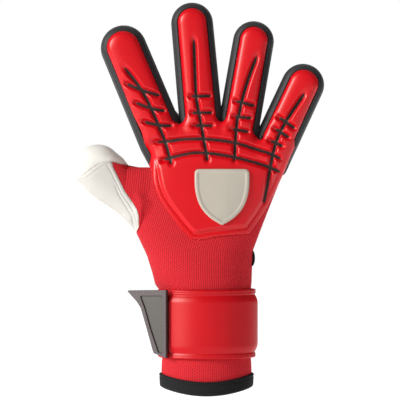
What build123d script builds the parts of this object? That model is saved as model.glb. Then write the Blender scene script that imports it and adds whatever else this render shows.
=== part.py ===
from build123d import *
import math
import os

# Goalkeeper's glove for the right hand, in millimetres. X runs across the hand to the
# little finger, Y from the back of the hand to the palm, Z up along the fingers. The
# origin is the centre of the cuff's opening.

# Cuff and wrist
CUFF_HALF_WIDTH, CUFF_HALF_DEPTH = 32.6, 24.5
SLEEVE_WALL = 2.5
LINING_WALL = 1.0
RIM_DIP = 5.0                    # the rim hangs lower at mid-width than at the sides
BINDING_HEIGHT, BINDING_PROUD = 9.0, 1.2
WRIST_Z, WRIST_SWING = 88.0, 30.0
WRIST_FLARE_Z = 108.3            # the tube of the wrist ends and the hand begins
FLARE_CENTRE, FLARE_HALF_WIDTH, FLARE_HALF_DEPTH = -5.0, 43.0, 19.0

# Strap and pull tab
STRAP_LOW, STRAP_HIGH = 21.5, 72.0
STRAP_RIM_WIDTH = 4.5
STRAP_INSIDE, STRAP_OUTSIDE, STRAP_RIM_OUTSIDE = 1.9, 4.4, 3.4      # proud of the sleeve
PATCH_WALL = 0.8
STRAP_END_X = -27.7
BAND_WALL, BAND_START_Y = 3.0, 3.0
TAB_START = (-29.4, -19.8)
TAB_BACKSET = 27.0               # degrees that the tab leans back from the strap's face
TAB_WALL, TAB_RIM_WALL, TAB_RIM_WIDTH = 2.0, 1.0, 3.0

# Hand: two shallow domes, each a strip of a large cylinder, with a side wall between
DOME_RADIUS, DOME_CENTRE_X = 260.0, 5.0
BACK_Y, PALM_Y = -15.5, 12.0
MESH_WALL, PANEL_WALL, LATEX_WALL, SIDE_WALL = 2.0, 3.5, 3.5, 3.0
PANEL_INSET = 4.0                # the padded panel stops short of the fingers' sides
CHANNEL_WIDTH, CHANNEL_FLOOR = 2.4, 1.5
BADGE_WALL = 2.0

# Digits: the section is a circle cut flat on the back and on the palm
DIGIT_BACK_Y, DIGIT_BACK_WALL = -14.0, 3.5
DIGIT_PALM_Y, DIGIT_PALM_WALL = 13.5, 4.5
GUSSET_WALL = 3.0
HINGE_Y = 4.0
SLIT = 0.4                       # the gap between two bodies at a hinge line
KNUCKLE_BEND, MIDDLE_BEND = 50.0, 60.0
THUMB_BASE_BEND, THUMB_TIP_BEND = 30.0, 45.0


class Digit:
    """A finger or thumb: its tip's centre, its lean and its hinges' distances below it."""

    def __init__(self, tip, tilt, tip_radius, root_radius, length, hinges, bends, bars=()):
        self.tip, self.tilt, self.length = tip, tilt, length
        self.tip_radius, self.root_radius = tip_radius, root_radius
        self.hinges, self.bends, self.bars = hinges, bends, bars

    def radius(self, below):
        """Half the digit's width at a distance below the tip's centre."""
        return self.tip_radius + (self.root_radius - self.tip_radius) * below / self.length

    def place(self):
        """The location that takes a shape made upright at the origin to the digit."""
        return Pos(self.tip[0], 0, self.tip[1]) * Rot(0, self.tilt, 0)

    def place_flat(self):
        """The same location for an outline drawn in the plane of the hand."""
        return Pos(self.tip[0], self.tip[1]) * Rot(0, 0, -self.tilt)


FINGER_BENDS = (KNUCKLE_BEND, MIDDLE_BEND)
FINGERS = {
    "index": Digit((-60.8, 248.4), -22.7, 16.5, 16.9, 74.0, (44.0, 25.0), FINGER_BENDS, (49.1, 62.9)),
    "middle": Digit((-10.6, 266.6), -5.2, 15.1, 15.8, 84.0, (49.0, 29.0), FINGER_BENDS, (54.2, 66.3, 75.9)),
    "ring": Digit((34.5, 253.4), 9.9, 14.7, 14.8, 78.0, (38.0, 20.0), FINGER_BENDS, (46.3, 56.8, 66.6)),
    "little": Digit((70.8, 221.5), 25.0, 15.1, 16.3, 64.0, (32.0, 15.0), FINGER_BENDS, (39.0, 47.6)),
}
THUMB = Digit((-79.7, 160.6), -45.0, 17.2, 14.0, 46.0, (40.0, 12.0), (THUMB_BASE_BEND, THUMB_TIP_BEND))

HAND_OUTLINE = [(-46.5, 108.3), (-52, 113.7), (-61.3, 122.4), (-41.5, 142.2), (-58, 163), (-42, 161),
                (-51.4, 181.2), (-20, 196), (11, 198), (40, 188), (64, 172.5), (52.8, 147.6), (41, 119.4),
                (38, 108.3)]
PANEL_OUTLINE = [(-12.9, 109.1), (30.5, 111.4), (44.1, 136.9), (50.9, 144.4), (56.2, 157.7), (38.7, 184),
                 (10.9, 193.9), (-19.8, 192.3), (-47, 180), (-39.1, 159.6), (-36.3, 142.8), (-17.3, 114.4)]
KNUCKLE_ARCS = [[(-40.3, 178.7), (-0.4, 181.5), (55.3, 166.0)], [(-33.1, 164.3), (-0.4, 171.5), (54.6, 157.1)]]
BADGE_OUTLINE = [(-7, 159), (29, 159), (29, 136), (11, 118), (-7, 136)]
TAB_OUTLINE = [(0, 22.3), (9, 25.8), (14.5, 43), (19.5, 58.2), (30, 70.8), (0, 71.8)]

FAR = 200.0                      # larger than the glove, for trimming shapes


def block(x=(-FAR, FAR), y=(-FAR, FAR), z=(-FAR, 2 * FAR)):
    """A trimming block between three pairs of limits."""
    size = [high - low for low, high in (x, y, z)]
    return Pos(*[sum(pair) / 2 for pair in (x, y, z)]) * Box(*size)


def hinge_gap(z, hinge_y, bend, both_ways=False):
    """The slit and the wedge that let two bodies turn about a hinge line along X."""
    rise = SLIT / 2 + FAR * math.tan(math.radians(bend / 2 + 1))
    near = rise if both_ways else SLIT / 2
    profile = [(hinge_y - FAR, z - near), (hinge_y, z - SLIT / 2), (hinge_y + FAR, z - rise),
               (hinge_y + FAR, z + rise), (hinge_y, z + SLIT / 2), (hinge_y - FAR, z + near)]
    return extrude(Plane.YZ * Polygon(*profile, align=None), amount=FAR / 2, both=True)


# ---------------------------------------------------------------- digits

def capsule(digit, inset=0.0):
    """The round tapered form of a digit, upright with its tip's centre at the origin."""
    tip, root = digit.tip_radius - inset, digit.root_radius - inset
    slant = tip * math.sqrt(0.5)
    edges = [ThreePointArc((0, 0, tip), (slant, 0, slant), (tip, 0, 0)),
             Line((tip, 0, 0), (root, 0, -digit.length)),
             Line((root, 0, -digit.length), (0, 0, -digit.length)),
             Line((0, 0, -digit.length), (0, 0, tip))]
    return revolve(make_face(edges), Axis.Z)


def segment(digit, shape, number):
    """The part of a digit's shape that belongs to its first (0) or last (1) moving body."""
    low = -digit.hinges[number]
    high = -digit.hinges[1] if number == 0 else FAR
    piece = shape & block(z=(low, high))
    for hinge, bend in zip(digit.hinges, digit.bends):
        piece -= hinge_gap(-hinge, HINGE_Y, bend)
    return digit.place() * piece


def channel_strip(digit):
    """The long flex channel down the middle of a finger's back."""
    return block(x=(-CHANNEL_WIDTH / 2, CHANNEL_WIDTH / 2), y=(-FAR, 0), z=(-digit.length, -10))


def digit_pieces(digit, number, with_channel):
    """Back, gusset and palm of one segment, and the black floor of its flex channel."""
    back_inner = DIGIT_BACK_Y + DIGIT_BACK_WALL
    palm_inner = DIGIT_PALM_Y - DIGIT_PALM_WALL
    form = capsule(digit)
    back = form & block(y=(DIGIT_BACK_Y, back_inner))
    pieces = {
        "gusset": (form - capsule(digit, GUSSET_WALL)) & block(y=(back_inner, palm_inner)),
        "palm": form & block(y=(palm_inner, DIGIT_PALM_Y)),
    }
    if with_channel:
        strip = channel_strip(digit)
        pieces["channel"] = form & block(y=(back_inner - CHANNEL_FLOOR, back_inner)) & strip
        back -= strip
    pieces["back"] = back
    return {kind: segment(digit, shape, number) for kind, shape in pieces.items()}


# ---------------------------------------------------------------- hand

def stand_up(outline):
    """A flat outline in the plane of the hand, drawn out both ways into a solid."""
    return extrude(Plane.XZ * outline, amount=40, both=True)


def stub(digit, inset):
    """A digit's root drawn out, run past its first hinge to be trimmed there."""
    top = digit.hinges[0] - 8
    low, high = digit.radius(digit.length) - inset, digit.radius(top) - inset
    corners = [(-low, -digit.length), (low, -digit.length), (high, -top), (-high, -top)]
    return stand_up(digit.place_flat() * Polygon(*corners, align=None))


def hand_form(inset=0.0):
    """The whole hand's outline drawn out, with the digits' roots."""
    form = stand_up(offset(Polygon(*HAND_OUTLINE, align=None), amount=-inset, kind=Kind.INTERSECTION)
                    if inset else Polygon(*HAND_OUTLINE, align=None))
    for digit in [*FINGERS.values(), THUMB]:
        form += stub(digit, inset)
    return form


def panel_form():
    """The outline of the padded panel on the back of the hand, drawn out."""
    form = stand_up(Polygon(*PANEL_OUTLINE, align=None))
    for digit in FINGERS.values():
        form += stub(digit, PANEL_INSET)
    return form


def channel_form():
    """The flex channels: one down each finger, bars across it and two arcs of the knuckles."""
    half = CHANNEL_WIDTH / 2
    strips = []
    for digit in FINGERS.values():
        foot = -digit.length - 12
        strip = Polygon((-half, foot), (half, foot), (half, 0), (-half, 0), align=None)
        bars = [Pos(0, -bar) * Rectangle(1.3 * digit.tip_radius, CHANNEL_WIDTH) for bar in digit.bars]
        strips += [digit.place_flat() * outline for outline in [strip, *bars]]
    strips += [trace(ThreePointArc(*points), line_width=CHANNEL_WIDTH) for points in KNUCKLE_ARCS]
    form = stand_up(strips[0])
    for strip in strips[1:]:
        form += stand_up(strip)
    return form


def back_shell(low, high):
    """A layer of the back's dome, between two heights over its surface."""
    centre = Pos(DOME_CENTRE_X, DOME_RADIUS + BACK_Y, FAR / 2)
    layer = Cylinder(DOME_RADIUS + high, 2 * FAR) - Cylinder(DOME_RADIUS + low, 2 * FAR)
    return centre * layer & block(y=(-FAR, 0))


def palm_shell(low, high):
    """A layer of the palm's dome, between two heights over its surface."""
    centre = Pos(DOME_CENTRE_X, PALM_Y - DOME_RADIUS, FAR / 2)
    layer = Cylinder(DOME_RADIUS + high, 2 * FAR) - Cylinder(DOME_RADIUS + low, 2 * FAR)
    return centre * layer & block(y=(0, FAR))


def between_domes():
    """The space between the inner faces of the back and the palm."""
    back = Pos(DOME_CENTRE_X, DOME_RADIUS + BACK_Y, FAR / 2) * Cylinder(DOME_RADIUS - MESH_WALL, 2 * FAR)
    palm = Pos(DOME_CENTRE_X, PALM_Y - DOME_RADIUS, FAR / 2) * Cylinder(DOME_RADIUS - LINING_WALL, 2 * FAR)
    return back & palm


def free_the_digits(piece):
    """Trim a piece of the hand at each digit's first hinge."""
    for digit in [*FINGERS.values(), THUMB]:
        reach = digit.tip_radius + 1
        past = block(x=(-reach, reach), y=(-40, 40), z=(-digit.hinges[0], 20))
        gap = hinge_gap(-digit.hinges[0], HINGE_Y, digit.bends[0]) & block(x=(-reach - 2, reach + 2))
        piece = piece - digit.place() * past - digit.place() * gap
    return piece


def side_wall():
    """The gusset and mesh round the edge of the hand, open at the wrist."""
    middle = (HAND_OUTLINE[0][0] + HAND_OUTLINE[-1][0]) / 2
    mouth = stand_up(Pos(middle, WRIST_FLARE_Z) * Rectangle(78, 12))
    return (hand_form() - hand_form(SIDE_WALL) - mouth) & between_domes()


def hand_pieces():
    """The hand's own layers, from the badge on the back to the latex of the palm."""
    form, panel, channels = hand_form(), panel_form(), channel_form()
    pieces = {
        "backhand_mesh": form & back_shell(-MESH_WALL, 0),
        "backhand_panel": (panel - channels) & back_shell(0, PANEL_WALL),
        "knuckle_channels": panel & channels & back_shell(0, CHANNEL_FLOOR),
        "palm_latex": form & palm_shell(0, LATEX_WALL),
        "palm_lining": form & palm_shell(-LINING_WALL, 0),
        "hand_side_wall": side_wall(),
    }
    pieces = {name: free_the_digits(piece) for name, piece in pieces.items()}
    badge = stand_up(Polygon(*BADGE_OUTLINE, align=None))
    pieces["raised_badge"] = badge & back_shell(PANEL_WALL, PANEL_WALL + BADGE_WALL)
    return pieces


# ---------------------------------------------------------------- wrist and cuff

def oval(proud, z):
    """The cuff's oval section at a height, grown by a distance."""
    return Pos(0, 0, z) * Ellipse(CUFF_HALF_WIDTH + proud, CUFF_HALF_DEPTH + proud)


def oval_ring(low, high, bottom, top):
    """A tube of the cuff's oval between two distances proud of the sleeve."""
    return extrude(oval(high, bottom), top - bottom) - extrude(oval(low, bottom), top - bottom)


def flare(inset):
    """The solid form of the wrist, from the cuff's oval to the hand's flatter one."""
    top = Pos(FLARE_CENTRE, 0, WRIST_FLARE_Z) * Ellipse(FLARE_HALF_WIDTH - inset, FLARE_HALF_DEPTH - inset)
    return loft([oval(0.6 - inset, WRIST_Z - 1), top])


def wrist_mesh():
    """The knitted tube that joins the hand to the cuff, above the wrist's crease."""
    tube = (flare(0) - flare(SLEEVE_WALL)) & block(z=(WRIST_Z, WRIST_FLARE_Z))
    return tube - hinge_gap(WRIST_Z, 0, WRIST_SWING, both_ways=True)


def side_loop():
    """A short folded tape sewn to the wrist on the little finger's side."""
    tape = block(x=(30, 37.2), y=(-4, 4), z=(89.5, 99.5))
    return tape - flare(0)


def cuff_pieces():
    rim_radius = (CUFF_HALF_WIDTH ** 2 + RIM_DIP ** 2) / (2 * RIM_DIP)
    rim_centre = Pos(0, 0, rim_radius - RIM_DIP) * Rot(90, 0, 0)
    inside_rim = rim_centre * Cylinder(rim_radius, 2 * FAR)
    crease = hinge_gap(WRIST_Z, 0, WRIST_SWING, both_ways=True)
    sleeve = (oval_ring(-SLEEVE_WALL, 0, -RIM_DIP, WRIST_Z) & inside_rim) - crease
    lining = oval_ring(-SLEEVE_WALL - LINING_WALL, -SLEEVE_WALL, 6, WRIST_Z) - crease
    above = rim_centre * Cylinder(rim_radius - BINDING_HEIGHT, 2 * FAR)
    binding = oval_ring(-SLEEVE_WALL - BINDING_PROUD, BINDING_PROUD, -2 * RIM_DIP, 5 * RIM_DIP)
    binding = binding & rim_centre * Cylinder(rim_radius + BINDING_PROUD, 2 * FAR) & block(z=(-FAR, 12))
    binding = binding - above - sleeve - lining
    band = oval_ring(0, BAND_WALL, STRAP_LOW, STRAP_HIGH)
    patch = oval_ring(0, PATCH_WALL, STRAP_LOW + 4, STRAP_HIGH - 4)
    return {
        "cuff_sleeve": sleeve,
        "cuff_lining": lining,
        "cuff_binding": binding,
        "strap_band": band & (block(y=(BAND_START_Y, FAR)) + block(x=(-FAR, 0), y=(-3, FAR))),
        "loop_patch": patch & block(x=(-29, 12), y=(-FAR, 0)),
    }


def strap_pieces():
    flap = block(x=(STRAP_END_X, FAR), y=(-FAR, 1))
    low, high = STRAP_LOW + STRAP_RIM_WIDTH, STRAP_HIGH - STRAP_RIM_WIDTH
    rims = oval_ring(STRAP_INSIDE, STRAP_RIM_OUTSIDE, STRAP_LOW, low)
    rims += oval_ring(STRAP_INSIDE, STRAP_RIM_OUTSIDE, high, STRAP_HIGH)
    hooks = oval_ring(STRAP_INSIDE - PATCH_WALL, STRAP_INSIDE, low + 1, high - 1)
    return {
        "strap_panel": oval_ring(STRAP_INSIDE, STRAP_OUTSIDE, low, high) & flap,
        "strap_rims": rims & flap,
        "hook_patch": hooks & block(x=(STRAP_END_X + 2, 8), y=(-FAR, 0)),
    }


def tab_pieces():
    """The moulded pull tab: a plate with a raised rim, standing off the end of the strap."""
    place = Pos(TAB_START[0], TAB_START[1], 0) * Rot(0, 0, -TAB_BACKSET)
    face = Polygon(*[(-along, z) for along, z in TAB_OUTLINE], align=None)
    rim = face - offset(face, amount=-TAB_RIM_WIDTH, kind=Kind.INTERSECTION)
    return {
        "pull_tab_rim": place * extrude(Plane.XZ * rim, amount=TAB_RIM_WALL, dir=(0, 1, 0)),
        "pull_tab": place * Pos(0, TAB_RIM_WALL, 0) * extrude(Plane.XZ * face, amount=TAB_WALL, dir=(0, 1, 0)),
    }


def all_pieces():
    nodes = {**cuff_pieces(), **strap_pieces(), **tab_pieces(), **hand_pieces()}
    nodes["wrist_mesh"] = wrist_mesh()
    nodes["side_loop"] = side_loop()
    for finger, digit in FINGERS.items():
        for number, part in enumerate(("proximal", "distal")):
            for kind, shape in digit_pieces(digit, number, with_channel=True).items():
                nodes[f"{finger}_{part}_{kind}"] = shape
    for number, part in enumerate(("base", "tip")):
        for kind, shape in digit_pieces(THUMB, number, with_channel=False).items():
            nodes[f"thumb_{part}_{kind}"] = shape
    return nodes


os.makedirs("parts", exist_ok=True)
for node, shape in all_pieces().items():
    export_step(shape, f"parts/{node}.step")
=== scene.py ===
import math

import bmesh
import bpy
import numpy as np
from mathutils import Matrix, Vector


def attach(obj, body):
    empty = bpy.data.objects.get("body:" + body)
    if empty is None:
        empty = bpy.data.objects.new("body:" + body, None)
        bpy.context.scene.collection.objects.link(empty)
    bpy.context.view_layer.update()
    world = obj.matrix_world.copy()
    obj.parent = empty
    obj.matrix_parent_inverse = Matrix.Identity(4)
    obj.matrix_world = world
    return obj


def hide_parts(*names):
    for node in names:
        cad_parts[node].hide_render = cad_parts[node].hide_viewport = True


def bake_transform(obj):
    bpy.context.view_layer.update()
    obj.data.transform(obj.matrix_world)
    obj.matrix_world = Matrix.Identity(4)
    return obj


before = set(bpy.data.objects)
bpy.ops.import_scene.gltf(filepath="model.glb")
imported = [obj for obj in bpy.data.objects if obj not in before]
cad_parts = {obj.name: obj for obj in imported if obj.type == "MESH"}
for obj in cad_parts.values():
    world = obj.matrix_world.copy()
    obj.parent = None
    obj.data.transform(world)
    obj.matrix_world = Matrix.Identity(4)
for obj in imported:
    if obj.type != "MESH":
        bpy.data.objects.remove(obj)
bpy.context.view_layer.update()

# ---------------------------------------------------------------- studio
# A pale floor well below the glove, as if a hand held it up by its cuff, in a white room.
# The key lamp is on the thumb's side, with a warm one that shows only as gloss. A weak
# fill is in front, and one lamp is behind.
MM = 0.001
VIEW_CENTRE = (-4.8, 0.0, 137.0)
VIEW_DISTANCE = 1600.0
VIEW_WIDTH = 294.0

floor_mesh = bpy.data.meshes.new("floor")
bm = bmesh.new()
bmesh.ops.create_grid(bm, x_segments=1, y_segments=1, size=3.0)
bmesh.ops.translate(bm, verts=bm.verts, vec=(0, 0, -0.06))
bm.to_mesh(floor_mesh)
bm.free()
floor = bpy.data.objects.new("floor", floor_mesh)
bpy.context.scene.collection.objects.link(floor)
floor_material = bpy.data.materials.new("pale floor")
floor_material.use_nodes = True
floor_shader = floor_material.node_tree.nodes["Principled BSDF"]
floor_shader.inputs["Base Color"].default_value = (0.92, 0.92, 0.92, 1)
floor_shader.inputs["Roughness"].default_value = 0.9
floor_shader.inputs["Specular IOR Level"].default_value = 0.1
floor_shader.inputs["Emission Color"].default_value = (1, 1, 1, 1)
floor_shader.inputs["Emission Strength"].default_value = 0.42
floor_mesh.materials.append(floor_material)

world = bpy.data.worlds.new("white room")
bpy.context.scene.world = world
world.use_nodes = True
room = world.node_tree.nodes["Background"]
room.inputs["Color"].default_value = (1, 1, 1, 1)
room.inputs["Strength"].default_value = 0.26
seen_room = world.node_tree.nodes.new("ShaderNodeBackground")
seen_room.inputs["Color"].default_value = (1, 1, 1, 1)
either = world.node_tree.nodes.new("ShaderNodeMixShader")
rays = world.node_tree.nodes.new("ShaderNodeLightPath")
world.node_tree.links.new(rays.outputs["Is Camera Ray"], either.inputs["Fac"])
world.node_tree.links.new(room.outputs["Background"], either.inputs[1])
world.node_tree.links.new(seen_room.outputs["Background"], either.inputs[2])
dim_room = world.node_tree.nodes.new("ShaderNodeBackground")
dim_room.inputs["Strength"].default_value = 0.10
mirrored = world.node_tree.nodes.new("ShaderNodeMixShader")
world.node_tree.links.new(rays.outputs["Is Glossy Ray"], mirrored.inputs["Fac"])
world.node_tree.links.new(either.outputs["Shader"], mirrored.inputs[1])
world.node_tree.links.new(dim_room.outputs["Background"], mirrored.inputs[2])
world.node_tree.links.new(mirrored.outputs["Shader"], world.node_tree.nodes["World Output"].inputs["Surface"])
bpy.context.scene.view_settings.view_transform = "Standard"

camera_data = bpy.data.cameras.new("camera")
camera = bpy.data.objects.new("camera", camera_data)
bpy.context.scene.collection.objects.link(camera)
camera.location = Vector(VIEW_CENTRE) * MM + Vector((0, -VIEW_DISTANCE * MM, 0))
camera.rotation_euler = (math.pi / 2, 0, 0)
camera_data.lens = camera_data.sensor_width * VIEW_DISTANCE / VIEW_WIDTH
bpy.context.scene.camera = camera

for lamp_name, place, strength, softness, colour in (
        ("key", (-0.90, -0.50, 0.38), 3.3, 24, (1, 1, 1)),
        ("gloss", (-0.78, -0.66, 0.32), 2.0, 40, (1, 0.86, 0.68)),
        ("fill", (0.3, -1.0, 0.1), 0.12, 60, (1, 1, 1)),
        ("back", (0.4, 1.0, 0.7), 1.0, 60, (1, 1, 1))):
    lamp = bpy.data.lights.new(lamp_name, "SUN")
    lamp.energy, lamp.angle, lamp.color = strength, math.radians(softness), colour
    holder = bpy.data.objects.new(lamp_name, lamp)
    bpy.context.scene.collection.objects.link(holder)
    holder.location = place
    holder.rotation_euler = (-Vector(place)).to_track_quat("-Z", "Y").to_euler()
    holder.visible_diffuse = lamp_name != "gloss"
    holder.visible_glossy = lamp_name in ("key", "gloss")

# ---------------------------------------------------------------- padded back
# The red back is a foam sheet with a satin coated face, embossed in a hot mould. Deep
# channels with black floors let it bend: one down each finger, bars across it and two
# arcs over the knuckles. Its lower edge is pressed flat and sewn down.

# every layer of the glove follows the hand it is made for: five round digits and a flat
# body that turns into the oval of the wrist. Sizes are in millimetres, in the hand's own
# plane, x across and z up, with the thickness from the plane as a smooth field over it.
DIGITS = {
    "index": dict(tip=(-60.8, 248.4), lean=-22.7, at=(0, 74, 92), half=(16.6, 17.1, 15.3), length=74,
                  split=33.8, root=49.1),
    "middle": dict(tip=(-10.6, 266.6), lean=-5.2, at=(0, 84), half=(15.1, 15.7), length=84, split=40,
                   root=54.2),
    "ring": dict(tip=(34.5, 253.4), lean=9.9, at=(0, 78), half=(14.7, 14.9), length=78, split=29.3,
                 root=46.3),
    "little": dict(tip=(70.8, 221.5), lean=25.0, at=(0, 64), half=(15.3, 15.6), length=64, split=23.5,
                   root=39.0),
    "thumb": dict(tip=(-79.7, 160.6), lean=-45.0, at=(0, 8, 17, 28, 36, 60),
                  half=(17.2, 18.0, 16.8, 14.3, 13.3, 13.7),
                  length=48, split=26, root=60),
}
FINGERS = ("index", "middle", "ring", "little")
DIGIT_DEPTH = 13.2
DIGIT_SQUARE = 2.5              # 2 is a round section, more is squarer
BODY_HEIGHTS = (0, 70, 77, 84, 100, 113, 130, 147, 160, 167, 172, 182, 190, 197, 203, 207)
BODY_LEFT = (-33, -34, -38.3, -40.2, -45.2, -52, -56, -58, -55, -46.5, -47, -49.5, -47, -40, -38, -38)
BODY_RIGHT = (33, 33, 33.6, 33.8, 34.6, 39.4, 46, 52.8, 58, 61, 63, 66, 66, 60, 50, 50)
BODY_DEPTH = (24.8, 24.8, 24.8, 24.5, 22.5, 20.3, 19, 18, 17, 16.4, 16, 15, 13, 9, 3.5, 0)


def smoothstep(low, high, value):
    share = np.clip((value - low) / (high - low), 0, 1)
    return share * share * (3 - 2 * share)


def to_digit(digit, x, z):
    """A place in the hand's plane as (across the digit, below its tip's centre)."""
    lean = math.radians(digit["lean"])
    dx, dz = x - digit["tip"][0], z - digit["tip"][1]
    return dx * math.cos(lean) - dz * math.sin(lean), -(dx * math.sin(lean) + dz * math.cos(lean))


def from_digit(digit, across, below):
    lean = math.radians(digit["lean"])
    return (digit["tip"][0] + across * math.cos(lean) - below * math.sin(lean),
            digit["tip"][1] - across * math.sin(lean) - below * math.cos(lean))


def digit_half(digit, below):
    """Half the digit's width at a distance below its tip's centre."""
    straight = np.interp(below, digit["at"], digit["half"])
    return np.where(below > 0, straight, np.sqrt(np.maximum(digit["half"][0] ** 2 - below ** 2, 0)))


def digit_thickness(name, x, z):
    digit = DIGITS[name]
    across, below = to_digit(digit, x, z)
    half = np.interp(below, digit["at"], digit["half"])
    share = np.where(below > 0, np.abs(across) / half, np.hypot(across, below) / half)
    fade = 1 - smoothstep(digit["length"] - 6, digit["length"] + 14, below)
    return DIGIT_DEPTH * fade * np.maximum(1 - share ** DIGIT_SQUARE, 0) ** (1 / DIGIT_SQUARE)


def body_thickness(x, z):
    little_side = z + 0.5 * np.maximum(x - 14, 0)
    left, right = np.interp(z, BODY_HEIGHTS, BODY_LEFT), np.interp(z, BODY_HEIGHTS, BODY_RIGHT)
    depth = np.interp(little_side, BODY_HEIGHTS, BODY_DEPTH)
    share = np.abs((x - (left + right) / 2) / ((right - left) / 2))
    web = smoothstep(148, 168, z) * smoothstep(-37, -48, x)
    square = 2 + 0.5 * smoothstep(84, 113, z)
    return depth * (1 - 0.86 * web) * np.maximum(1 - share ** square, 0) ** (1 / square)


def thickness(x, z):
    """Half the hand's thickness over the plane, the digits and the body run smoothly together."""
    total = body_thickness(x, z)
    for name in DIGITS:
        other = digit_thickness(name, x, z)
        reach = np.minimum(14.0 if name == "thumb" else 5.0, np.minimum(total, other) + 1e-6)
        overlap = np.maximum(reach - np.abs(total - other), 0)
        total = np.maximum(total, other) + overlap ** 2 / (4 * reach)
    return total


def smooth_path(points, rounds=3):
    """A path with its corners cut, its two ends kept."""
    path = np.array(points, float)
    for _ in range(rounds):
        near, far = path[:-1], path[1:]
        cut = np.empty((2 * len(near), 2))
        cut[0::2], cut[1::2] = 0.75 * near + 0.25 * far, 0.25 * near + 0.75 * far
        path = np.vstack([path[:1], cut[1:-1], path[-1:]])
    return path


def walk(path, share):
    """Places along a path, by the share of its length."""
    steps = np.r_[0, np.cumsum(np.hypot(*np.diff(path, axis=0).T))]
    return np.interp(share * steps[-1], steps, path[:, 0]), np.interp(share * steps[-1], steps, path[:, 1])


def hem(share, count):
    """Even steps, but for a very short one at each end, so that an edge is shaded crisply."""
    step = (share * count).round()
    return np.where(step == 0, 0, np.where(step == count, 1, 0.003 + 0.994 * (step - 1) / (count - 2)))


def new_piece(name, made, material, wall=0.0, smooth=True):
    """A piece from a finished bmesh or mesh, its wall's thickness taken inwards."""
    mesh = made
    if isinstance(made, bmesh.types.BMesh):
        mesh = bpy.data.meshes.new(name)
        made.to_mesh(mesh)
        made.free()
    if smooth:
        mesh.shade_smooth()
    mesh.materials.append(material)
    piece = bpy.data.objects.new(name, mesh)
    bpy.context.scene.collection.objects.link(piece)
    if wall:
        thick = piece.modifiers.new("wall", "SOLIDIFY")
        thick.thickness, thick.offset = wall * MM, -1
    return piece


def sheet(name, columns, rows, place, inside, wall, material, body, join_sides=False, round_end=False):
    """A cloth or padded layer: a grid whose two shares are turned into a place in millimetres.

    inside is a function of the places that gives a point on the sheet's inner side, and
    wall the layer's thickness, taken inwards. The grid keeps its lengths as a UV map in
    metres and any extra values that place gives as a point attribute.
    """
    bm = bmesh.new()
    bmesh.ops.create_grid(bm, x_segments=columns, y_segments=rows, size=0.5)
    mesh = bpy.data.meshes.new(name)
    bm.loops.layers.uv.new("cloth")
    bm.to_mesh(mesh)
    flat = np.empty(3 * len(mesh.vertices))
    mesh.vertices.foreach_get("co", flat)
    across, along = flat[0::3] + 0.5, flat[1::3] + 0.5
    if round_end:
        along = np.where(along < 0.5, hem(along, rows), along)
    else:
        across, along = hem(across, columns), hem(along, rows)
    x, y, z, *extra = place(across, along)
    places = np.column_stack([x, y, z]) * MM
    mesh.vertices.foreach_set("co", places.ravel())
    order = np.lexsort((across.round(6), along.round(6)))
    table = places[order].reshape(rows + 1, columns + 1, 3)
    width = np.zeros((rows + 1, columns + 1))
    width[:, 1:] = np.cumsum(np.linalg.norm(np.diff(table, axis=1), axis=2), axis=1)
    width -= width[:, columns // 2][:, None]
    height = np.zeros((rows + 1, columns + 1))
    height[1:] = np.cumsum(np.linalg.norm(np.diff(table, axis=0), axis=2), axis=0)
    uv_of = np.empty((len(order), 2))
    uv_of[order, 0] = width.ravel()
    uv_of[order, 1] = np.broadcast_to(height[:, [columns // 2]], height.shape).ravel()
    corner = np.empty(len(mesh.loops), int)
    mesh.loops.foreach_get("vertex_index", corner)
    mesh.uv_layers["cloth"].data.foreach_set("uv", uv_of[corner].ravel())
    if extra:
        mesh.attributes.new("mark", "FLOAT", "POINT").data.foreach_set("value", extra[0].astype(np.float32))
    mesh.update()
    normals, centres = np.empty(3 * len(mesh.polygons)), np.empty(3 * len(mesh.polygons))
    mesh.polygons.foreach_get("normal", normals)
    mesh.polygons.foreach_get("center", centres)
    normals, centres = normals.reshape(-1, 3), centres.reshape(-1, 3)
    if (normals * (centres - inside(centres / MM) * MM)).sum() < 0:
        mesh.flip_normals()
    if join_sides:
        bm.free()
        bm = bmesh.new()
        bm.from_mesh(mesh)
        bmesh.ops.remove_doubles(bm, verts=bm.verts, dist=2e-6)
        bm.to_mesh(mesh)
    bm.free()
    piece = new_piece(name, mesh, material, wall)
    if body:
        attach(piece, body)
    return piece


def sew(name, parts, material, wall, facing=0):
    """Sew sheets into one piece. facing turns its faces to the back (-1) or the palm (1)."""
    bm = bmesh.new()
    for part in parts:
        bm.from_mesh(part.data)
        bpy.data.objects.remove(part)
    if facing:
        bmesh.ops.remove_doubles(bm, verts=bm.verts, dist=0.05 * MM)
        bmesh.ops.recalc_face_normals(bm, faces=bm.faces)
        if facing * sum(face.normal.y for face in bm.faces) < 0:
            bmesh.ops.reverse_faces(bm, faces=bm.faces)
    return new_piece(name, bm, material, wall)


def on_plane(places):
    """The inner side of a layer that lies over the hand's plane."""
    return places * np.array([1, 0, 1])


# coated cloth, latex and rubber share a fine grain: a node group that gives masks and a
# normal
def add_group(name, sockets_in, sockets_out):
    group = bpy.data.node_groups.new(name, "ShaderNodeTree")
    for label, kind, value in sockets_in:
        group.interface.new_socket(label, in_out="INPUT", socket_type=kind).default_value = value
    for label, kind in sockets_out:
        group.interface.new_socket(label, in_out="OUTPUT", socket_type=kind)
    return group, group.nodes.new("NodeGroupInput"), group.nodes.new("NodeGroupOutput")


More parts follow.
